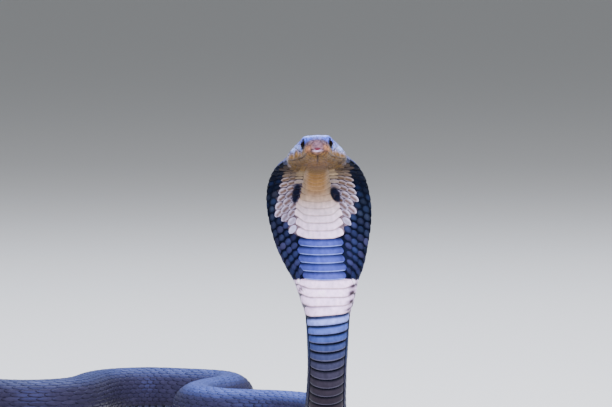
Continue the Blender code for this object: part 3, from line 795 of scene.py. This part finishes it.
# %% Shape of the plates
CREAM_FROM, NECK_FROM = 74.0, 92.0  # plates whose middles lie between these are cream
END_CREASE_SHADES = [  # painted shade in the creases at the upturned ends of the cream plates: station, side and length of each dark patch
    (77.2, 14.4, 1.2), (80.6, 13.4, 1.4), (84.8, 13.2, 1.1), (88.6, 12.2, 0.9), (78.6, -14.2, 0.9),
]
END_CREASE_WIDTH = 2.6
ALONG = np.array([0.0, 0.18, 0.35, 0.55, 0.75, 0.88, 0.95, 1.0])
ACROSS = np.sin(np.linspace(-1, 1, 27) * math.pi / 2) * 0.5 + np.linspace(-1, 1, 27) * 0.5
TUCK = 1.1  # how far a plate runs in under the one ahead of it, in millimetres
UNDERSIDE = -0.75  # how deep in the skin the underside of a plate lies, in millimetres
x, y = ALONG[None, :, None], ACROSS[None, None, :]
front, length = plate_front[:, None, None], (plate_end - plate_front)[:, None, None]
middle = front + length / 2
on_throat = middle < HOOD_BAND_START
on_neck = middle > NECK_FROM
cream = (middle > CREAM_FROM) & ~on_neck
slate = ~on_throat & ~cream
half = profile(SCUTE_HALF_ARC, middle) * (1 + 0.02 * rng.standard_normal(middle.shape))
pill = between(middle, 46, 54, 72, 76) * 0.10
half = half * (1 - (0.02 + pill) * np.abs(2 * x - 1) ** 3)
bow = 4.4 - 3.4 * ease(middle, 6, 30) + 0.9 * ease(middle, 84, 96) - 2.1 * ease(middle, 112, 140)
s = front - TUCK + x * (length + TUCK) + bow * (1 - y**2) - 0.25 * bow
side_place = y * half - 0.8 * between(middle, 54, 60, 70, 75)
reach = np.abs(side_place)
around = np.sign(side_place + 1e-9) * (1 - reach / half_round(s))
upturn = 3.2 * ease(middle, 30, 37) - 1.3 * ease(middle, 40, 51) - 0.9 * ease(middle, 46, 51)
cream_turn = 2.3 * (1 - 0.5 * ease(middle, 80, 90)) * np.where(middle < 78, x, 1)
slant = 0.09 * between(middle, 82, 91, 112, 124) * (1 - 0.5 * ease(middle, 98, 106))
s = s - upturn * on_throat * ease(reach, 6.5, 12.8) - cream_turn * cream * ease(reach, 8, 16.5)
s = s - slant * side_place
edge_fall = 0.42 * np.abs(y) ** (9 - 6 * ease(middle, 72, 78))
split = 0.22 * bell(side_place, 0, 0.35) * (middle > VENT)
fine_scale = np.clip(profile(HALF_WIDTH, middle) / 9.0, 0.25, 1.0)
lift = (0.62 * x**0.8 - 0.34 - 0.16 * ease(x, 0.86, 1) - edge_fall - split) * fine_scale
top = on_skin(s, around, lift)
under = on_skin(s, around, np.full_like(s, UNDERSIDE) * fine_scale)

# %% Colour of the plates
throat_colour = ramp(np.minimum(s, HOOD_BAND_START), THROAT_DYE_AND_SHADE)
colour = np.where(on_throat[..., None], throat_colour, ramp(middle, NECK_DYE_AND_SHADE))
colour = colour * (1 + 0.05 * rng.standard_normal(middle.shape))[..., None]
colour = paint(colour, [
    ("#93816f", ease(reach, 2.8, 7) * between(middle, -8, 4, 26, 32) * 0.7),
    ("#393f7c", ease(reach, 4, 11) * ~on_throat * (1 - ease(middle, 74, 75)) * 0.8),
])
streak = np.interp(side_place, np.linspace(-16, 16, 65), rng.standard_normal(65))
colour = colour * (1 + 0.07 * streak * (middle < 120))[..., None]
rear = ease(x, 0.88, 0.95) * np.ones_like(s)
# lighter rear rims of the slate and neck plates: partly their own paler edge, partly painted highlight on the
# raised free edge
rim_dye_and_highlight = np.where(on_neck[..., None], linear("#5d5a6c"), linear("#8f9fee"))
colour = paint(colour, [
    (rim_dye_and_highlight, rear * slate * (1 - 0.3 * ease(middle, 108, 120)) * 0.6),
    ("#a98a6e", rear * ~slate * 0.495),
])
# painted shade in the step under each plate's free edge: the front of each plate, just behind the edge ahead,
# is darkened, more on the upper throat and the slate plates
covered = 0.27 + 0.04 * slate + 0.04 * on_neck
shade = (1 - ease(x, covered, covered + 0.10)) * np.ones_like(s)
first_slate = on_neck * (1 - ease(middle, 98, 106))
throat_step_shade = 0.2 * (1 - ease(middle, 28, 36))
colour = colour * (1 - (0.50 + throat_step_shade + 0.46 * slate - 0.04 * first_slate) * shade)[..., None]
# painted shade in the creases where the cream plates turn up at their ends
for at, out, size in END_CREASE_SHADES:
    crease_shade = bell(side_place, out, END_CREASE_WIDTH) * bell(s + 0.4 * (side_place - out), at, size)
    colour = blend(colour, linear("#1e120a"), np.clip(1.3 * crease_shade, 0, 0.97))
colour = blend(colour, linear(SPOT_DYE), spot(s, side_place))
# painted shade: the undersides of the plates get a darker copy of their colour
colour = np.concatenate([colour, colour * 0.4], axis=1)

# %% Plates as one mesh
rows, columns = len(ALONG), len(ACROSS)
plate_points = np.concatenate([top, under], axis=1).reshape(-1, 3)
i, j = np.meshgrid(np.arange(rows - 1), np.arange(columns - 1), indexing="ij")
low = (i * columns + j).ravel()
quad = np.stack([low, low + columns, low + columns + 1, low + 1], axis=1)
block = rows * columns
rim = np.concatenate([
    np.arange(columns), np.arange(2, rows + 1) * columns - 1,
    block - 2 - np.arange(columns - 1), np.arange(rows - 2, 0, -1) * columns,
])
rim_next = np.roll(rim, -1)
wall = np.stack([rim, rim_next, rim_next + block, rim + block], axis=1)
plate_faces = np.concatenate([quad, quad[:, ::-1] + block, wall])
all_plates = (np.arange(len(plate_front))[:, None, None] * 2 * block + plate_faces[None]).reshape(-1, 4)


# %% Where each scale grows, for the bake
def bake_place(root_s, root_around, local, first, last):
    """Two-way place of a scale's root on the unrolled skin, plus its own patch 0.003 across."""
    root = np.stack([(root_s - first) / (last - first), (root_around + 1) / 2], axis=-1)
    return 0.004 + 0.992 * root + 0.0015 * local


local = np.stack(np.broadcast_arrays(2 * x - 1, y), axis=-1)
plate_bake = bake_place(middle, np.full_like(middle, 0.98), local, -16.0, TAIL_END)
plate_bake = np.concatenate([plate_bake, plate_bake], axis=1).reshape(-1, 2)
plates = make_mesh("belly_plates", plate_points, [all_plates], colour.reshape(-1, 3), plate_bake)

# %% [markdown]
# ## Back and flank scales
#
# Cobra scales are smooth, long ovals laid like roof tiles, one row to each step round the body and one
# scale to each belly plate, with every other row half a plate behind. On the spread hood the skin
# stretches: scales lean outward and dark skin opens between them. They are modelled one by one from a
# single shape of under a hundred faces, bent to the skin through the map, and joined into five meshes.


# %% One scale
TOP, RIM, FOOT = 0, 1, 2  # the part of a scale that a vertex belongs to
LONG, WIDE = 0.72, 0.62  # half length and half width of a scale, as shares of its steps along and across
TILT, DOME, RIM_DROP, FOOT_DEPTH = 0.20, 0.16, 0.10, -0.62


def scale_shape(sides):
    """Rings of a rounded rhomb, |x|^1.8 + |y|^1.8 = 1: a domed top, a rim and a foot sunk in the skin."""
    turn = np.linspace(0, 2 * math.pi, sides, endpoint=False)
    rhomb = (np.abs(np.cos(turn)) ** 1.8 + np.abs(np.sin(turn)) ** 1.8) ** (-1 / 1.8)
    radius = np.array([0.5, 0.82, 1.0, 0.97])[:, None] * rhomb
    x, y = [np.concatenate([[0.0], (radius * wave(turn)).ravel(), [0.0]]) for wave in (np.cos, np.sin)]
    kind = np.repeat([TOP, RIM, FOOT], [1 + 2 * sides, sides, sides + 1])
    fans = [cap_faces(1, sides, 0, turned=True), cap_faces(1 + 3 * sides, sides, 1 + 4 * sides)]
    return x, y, kind, np.concatenate(fans), ring_faces(4, sides, 1)


# %% Where the scales grow
SCALE_ROWS = [  # rows on one half of the back: 12 on the hood, 11 on the body, fewer on the tail
    (-20, 12.4), (0, 12.4), (20, 12.2), (60, 12.2), (95, 11.4), (140, 11.2), (700, 11.2), (VENT, 8.6),
    (1100, 4.2),
]
column, row = np.meshgrid(np.arange(len(edges) - 1), np.arange(-14, 15), indexing="ij")
beat = (column + 0.5 * (np.abs(row) % 2)).ravel()
root_s = np.interp(beat, np.arange(len(edges)), edges)
pitch = profile(SCUTE_PITCH, root_s)
dorsal = half_round(root_s) - profile(SCUTE_HALF_ARC, root_s) + 0.5
row_count = np.interp(root_s, *zip(*SCALE_ROWS)) + 0.5
share, spacing = row.ravel() / row_count, dorsal / row_count
root_around = share * dorsal / half_round(root_s)
off_back = np.abs(root_around)
starts = -13.0 + 2.5 * bell(off_back, 0.5, 0.2) - 8.0 * ease(off_back, 0.66, 0.84)
print("scale rows are", spacing[np.argmin(np.abs(root_s - 30))].round(2), "mm apart on the hood")
keep = (np.abs(share) < 0.985) & (root_s > starts) & (root_s < TAIL_END - 3.0)
root_s, root_around, pitch, spacing = [v[keep] for v in (root_s, root_around, pitch, spacing)]
print(len(root_s), "scales")


# %% Lay the scales on the skin
def lay_scales(name, chosen, sides, first, last):
    """Every vertex keeps its distances from the scale's root, measured along and across the skin."""
    x, y, kind, fans, rings = scale_shape(sides)
    s0, around0 = root_s[chosen][:, None], root_around[chosen][:, None]
    step_along, step_across = pitch[chosen][:, None], spacing[chosen][:, None]
    count = len(s0)
    draw = np.random.default_rng(11)
    spread = between(s0, 4, 20, 62, 84)
    on_front = np.abs(around0) > 0.5
    from_margin = np.abs(np.abs(around0) - 0.5) * 2
    distance0 = from_belly(s0, around0)
    pale = in_patch(s0, distance0)
    dark = 1 - pale
    outward = (0.24 * ease(s0, 24, 34) - 0.14 * ease(s0, 15, 22) - 0.88) * ease(from_margin, -0.1, 0.22)
    outward = outward * between(s0, 0, 10, 66, 84)
    lean = np.where(on_front, outward, 0.30 * np.sin(math.pi * from_margin) * spread)
    lean = lean + 0.03 * draw.standard_normal((count, 1))
    grow = 1 + 0.03 * draw.standard_normal((count, 1))
    band = between(s0, 72, 78, 90, 96)
    point_x = x * step_along * (LONG - 0.18 * spread + 0.14 * pale * spread - 0.22 * band) * grow
    point_y = y * step_across * (WIDE - 0.13 * spread - 0.02 * pale * spread) * grow * (1 - 0.12 * x)
    side = np.sign(around0 + 1e-9)
    s = s0 + point_x * np.cos(lean) - point_y * np.sin(lean) * side
    around = around0 + (point_x * np.sin(lean) * side + point_y * np.cos(lean)) / half_round(s0)
    tilt = (TILT - 0.08 * spread) * x
    dome = DOME * (1 - np.clip(x**2 + y**2, 0, 1))
    height = np.where(kind == FOOT, FOOT_DEPTH, np.where(kind == RIM, tilt - RIM_DROP, tilt + dome))
    height = height * np.clip(step_across / 2.4, 0.3, 1.0)
    height = height + np.where(kind == FOOT, 0.0, 0.02 * draw.standard_normal((count, 1)))
    points = on_skin(s, around, height)

    crossed = (np.abs(s0 - BAND_CREAM[0]) < 2.5)[..., None]  # by the cream band's upper edge
    b_here = look_up(map_b, s, around)
    from_ring = np.hypot(np.abs(b_here) - RING_ASIDE, s - RING_STATION)
    ocellus = (1 - ease(from_ring, 1.6, 3)) * (np.abs(around) < 0.5)
    core = bell(y * side, 0.12, 0.75) * (1 - ease(np.abs(x + 0.05), 0.7, 1))
    ochre = ease(s0, 10, 18) * (1 - 0.85 * ease(s0, 40, 47)) * ease(np.abs(distance0), 9, 10.5) * core
    colour = paint(np.where(crossed, markings(s, around), markings(s0, around0)), [
        ("#9c9a94", spectacle(s, around, b_here) * 0.75),
        ("#10131f", ocellus * 0.8),
        ("#d6cef0", pale * (1 - core) * ease(s0, 14, 30) * (0.64 - 0.24 * ease(s0, 38, 46))),
        ("#4c3200", ochre * pale * 0.92),
        (SPOT_DYE, spot(s, from_belly(s, around)) * on_front * 0.97),
    ])
    # painted shade: the rims of the dark scales darker
    rim = ease(np.hypot(x, y), 0.72, 1)[None, :]
    colour = colour * (1 - (0.30 + 0.30 * spread) * rim * dark)[..., None]
    # painted highlight: the centres of the dark scales lighter
    centre = (1 - ease(np.hypot(x + 0.1, y), 0.1, 0.95))[None, :]
    painted_shine = (0.25 + 0.75 * ease(s0, 22, 40)) * (1 - 0.45 * ease(s0, 46, 58)) * (0.4 + 0.6 * on_front)
    colour = blend(colour, colour * 2.0 + 0.008, centre * dark * spread * painted_shine)
    # painted glints on about a quarter of the dark scales on the upper hood's front
    painted_glint = (1 - ease(s0, 40, 50)) * (draw.random((count, 1)) > 0.75)
    violet = ease(s0, 40, 50) * draw.random((count, 1))
    colour = paint(colour, [
        ("#101a38", dark * spread * on_front * painted_glint * centre * 0.5),
        ("#3d3654", dark * spread * on_front * violet * 0.35),
    ])
    uneven = 0.07 + 0.25 * pale * (1 - ease(s0, 8, 14)) + 0.18 * dark * spread
    tone = np.clip(1 + uneven[..., None] * draw.standard_normal((count, 1, 1)), 0.5, 1.6)
    # painted shade: the sunk foot of each scale darker
    colour = colour * tone * np.where(kind == FOOT, 0.35, 1.0)[None, :, None]
    local = np.stack([x, y], axis=-1)
    bake = bake_place(s0, around0, local, first, last)
    offset = np.arange(count)[:, None, None] * len(x)
    faces = [(offset + fans).reshape(-1, 3), (offset + rings).reshape(-1, 4)]
    return make_mesh(name, points.reshape(-1, 3), faces, colour.reshape(-1, 3), bake.reshape(-1, 2))


coats = []
for name, first, last, sides in (
    ("hood_scales", -20.0, 66.0, 18), ("neck_scales", 66.0, 180.0, 16), ("body_scales_a", 180.0, 430.0, 14),
    ("body_scales_b", 430.0, 700.0, 14), ("tail_scales", 700.0, 1140.0, 12),
):
    chosen = (root_s >= first) & (root_s < last)
    coats.append(lay_scales(name, chosen, sides, first - 4.0, last + 4.0))

# %% [markdown]
# ## Eyes
#
# A snake has no lids: a clear scale covers the eye for good, which makes it glossy. A cobra's pupil is
# round in a dark brown iris, so the eye is one polished ball whose colour rings are worked out from the
# angle to its own axis.


# %% Two eyes
EYE_RINGS, EYE_SIDES = 48, 64


def head_place(place, side_sign):
    """World point of (station, side, up) in the head's own frame."""
    origin, side, back = frames(np.array(place[0]))
    point = origin + side_sign * place[1] * side + place[2] * back
    point[:2] += CENTRING
    return point, side * side_sign, back


def eye_ball(name, side_sign):
    """A ball by latitude and longitude about an axis that looks sideways and a little forward and up."""
    centre, side, back = head_place(EYE_PLACE, side_sign)
    look = unit(side - 0.28 * HEAD_BACK + 0.12 * back)
    east = unit(np.cross(back, look))
    north = np.cross(look, east)
    polar = np.linspace(0.02, math.pi - 0.02, EYE_RINGS)[:, None]
    turn = np.linspace(0, 2 * math.pi, EYE_SIDES, endpoint=False)[None, :]
    bulge = EYE_RADIUS * (1 + 0.05 * bell(polar, 0, 0.6))
    ring = np.sin(polar)[..., None] * (np.cos(turn)[..., None] * east + np.sin(turn)[..., None] * north)
    points = centre + bulge[..., None] * (np.cos(polar)[..., None] * look + ring)
    angle = polar * np.ones_like(turn)
    iris = blend(linear("#040303"), linear("#150b07"), ease(angle, 0.42, 0.50))
    colour = blend(iris, linear("#040405"), ease(angle, 0.70, 0.85)).reshape(-1, 3)
    poles = np.stack([centre + 1.05 * EYE_RADIUS * look, centre - EYE_RADIUS * look])
    points = np.concatenate([points.reshape(-1, 3), poles])
    end = EYE_RINGS * EYE_SIDES
    caps = [cap_faces(0, EYE_SIDES, end), cap_faces(end - EYE_SIDES, EYE_SIDES, end + 1, turned=True)]
    faces = [ring_faces(EYE_RINGS, EYE_SIDES)[:, ::-1], np.concatenate(caps)]
    return make_mesh(name, points * MM, faces, np.concatenate([colour, colour[[0, -1]]]))


eyes = [eye_ball("eyeball_left", 1), eye_ball("eyeball_right", -1)]

# %% [markdown]
# ## Finishes
#
# Scales are keratin, the stuff of fingernails: smooth, a little waxy, with a soft sheen and a colour that
# lies just under the surface. Each finish starts from the colour carried by the mesh and adds only what
# the real surface adds: fine mottling, fine lines of growth and small changes of gloss.


# %% Nodes
def add_node(tree, kind, settings=(), links=()):
    """A shader node of a kind, with its settings by name and its links as (input, other node, output)."""
    node = tree.nodes.new("ShaderNode" + kind)
    for key, value in dict(settings).items():
        if key in node.inputs:
            node.inputs[key].default_value = value
        else:
            setattr(node, key, value)
    for socket, other, output in links:
        tree.links.new(other.outputs[output], node.inputs[socket])
    return node


def keratin(name, roughness, mottle_mm, mottle, grain_mm, grain_height, sheen, cast="#ffffff"):
    """Mesh colour times slow noise, gloss varied by noise, a bump of fine grain, and a sheen of the cast."""
    made = bpy.data.materials.new(name)
    made.use_nodes = True
    tree = made.node_tree
    shader = tree.nodes["Principled BSDF"]
    shader.inputs["IOR"].default_value = 1.54
    shader.inputs["Specular IOR Level"].default_value = sheen
    shader.inputs["Specular Tint"].default_value = (*linear(cast), 1)
    place = add_node(tree, "TexCoord")
    tint = add_node(tree, "Attribute", {"attribute_name": "tint"})
    at_place = [("Vector", place, "Object")]
    slow = add_node(tree, "TexNoise", {"Scale": 1000 / mottle_mm, "Detail": 5.0, "Roughness": 0.6}, at_place)
    from_slow = [("Value", slow, "Fac")]
    span = {"From Min": 0.3, "From Max": 0.7, "To Min": 1 - mottle, "To Max": 1 + mottle}
    strength = add_node(tree, "MapRange", span, from_slow)
    dyed_by = [(0, tint, "Color"), (1, strength, "Result")]
    dyed = add_node(tree, "VectorMath", {"operation": "MULTIPLY"}, dyed_by)
    gloss = add_node(tree, "MapRange", {"To Min": roughness - 0.07, "To Max": roughness + 0.09}, from_slow)
    grain = add_node(tree, "TexNoise", {"Scale": 1000 / grain_mm, "Detail": 3.0}, at_place)
    raised = {"Strength": 0.5, "Distance": grain_height * MM}
    bump = add_node(tree, "Bump", raised, [("Height", grain, "Fac")])
    for node, socket in ((dyed, "Base Color"), (gloss, "Roughness"), (bump, "Normal")):
        tree.links.new(node.outputs[0], shader.inputs[socket])
    return made


# Smooth back scales: satin keratin over dark pigment, so the sky's sheen shows strongly on them.
back_keratin = keratin("satin_scale_keratin", 0.34, 1.8, 0.20, 0.35, 0.02, 0.10, "#6f8cff")
# Belly plates: thicker, flatter keratin, rubbed smooth, with a broad soft sheen.
belly_keratin = keratin("belly_plate_keratin", 0.40, 2.4, 0.20, 0.5, 0.03, 0.12, "#a9b8ff")
# Head shields and the skin between scales: fine-grained and a little drier.
shield_keratin = keratin("head_shield_keratin", 0.40, 1.3, 0.65, 0.3, 0.03, 0.14, "#8fa4ff")
# The clear scale over the eye: wet-looking, the smoothest surface of all.
eye_keratin = keratin("polished_spectacle_scale", 0.10, 1.0, 0.05, 0.6, 0.0, 0.05)
print("finishes:", [m.name for m in (back_keratin, belly_keratin, shield_keratin, eye_keratin)])

# %% Dress the pieces and tie them to the solids
skin.data.materials.append(shield_keratin)
plates.data.materials.append(belly_keratin)
for coat in coats:
    coat.data.materials.append(back_keratin)
for eye in eyes:
    eye.data.materials.append(eye_keratin)
for piece in [skin, plates, *coats, *eyes]:
    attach(piece, "root")
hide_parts(*flesh)
for eye, node in zip(eyes, ("eye_left", "eye_right")):
    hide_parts(node)
print("pieces:", 2 + len(coats) + len(eyes))

# %% [markdown]
# ## Floor, light and camera
#
# The floor is one wide pale sheet. The light is soft, as under an open sky: a large cool panel above and
# in front, a weaker one behind and a pale surround. The camera stands 2.2 m away, low, with a long lens,
# which is what gives the photograph its flat view and its horizon above the frame.

# %% Floor
floor_corners = 40 * np.array([(-1, -1, 0), (1, -1, 0), (1, 1, 0), (-1, 1, 0)])
floor = make_mesh("floor", floor_corners, [np.array([[0, 1, 2, 3]])])
paper = bpy.data.materials.new("matt_studio_paper")
paper.use_nodes = True
paper.node_tree.nodes["Principled BSDF"].inputs["Base Color"].default_value = (*linear("#d9d8d2"), 1)
paper.node_tree.nodes["Principled BSDF"].inputs["Roughness"].default_value = 0.9
floor.data.materials.append(paper)
floor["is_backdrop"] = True


# %% Light and camera
def panel(name, place, aim, size, power, tone):
    """A square lamp at place, turned to aim, in metres and watts."""
    lamp = bpy.data.lights.new(name, "AREA")
    lamp.size, lamp.energy, lamp.color = size, power, tuple(linear(tone))
    made = add_object(name, lamp)
    made.location = place
    made.rotation_euler = (Vector(aim) - Vector(place)).to_track_quat("-Z", "Y").to_euler()


hood_middle = (CENTRING[0] * MM, CENTRING[1] * MM, 0.12)
panel("sky_panel", (0.26, -1.35, 1.7), hood_middle, 1.6, 168.0, "#eef0ff")
panel("back_panel", (0.1, 0.8, 1.5), hood_middle, 1.2, 30.0, "#dfe8ff")
world = bpy.data.worlds.new("studio")
world.use_nodes = True
world.node_tree.nodes["Background"].inputs["Color"].default_value = (*linear("#dfe4ee"), 1)
world.node_tree.nodes["Background"].inputs["Strength"].default_value = 0.4
bpy.context.scene.world = world
PHOTO_WIDTH, FOCUS_PIXELS, HORIZON_PIXELS = 612, 4400.0, 243.5  # the horizon lies that far above the middle
SENSOR, EYE_LEVEL, STANDOFF, ASIDE = 36.0, 0.25, 2200.0, -10.5
camera_data = bpy.data.cameras.new("camera")
camera_data.sensor_width, camera_data.lens = SENSOR, FOCUS_PIXELS / PHOTO_WIDTH * SENSOR
camera_data.clip_end = 100.0
camera = add_object("camera", camera_data)
camera.location = ((CENTRING[0] + ASIDE) * MM, (CENTRING[1] - STANDOFF) * MM, EYE_LEVEL)
camera.rotation_euler = (math.pi / 2 - math.atan2(HORIZON_PIXELS, FOCUS_PIXELS), 0.0, 0.0)
bpy.context.scene.camera = camera
print("lens", round(camera_data.lens), "mm")

# %% Measure and finish
low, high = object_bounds()
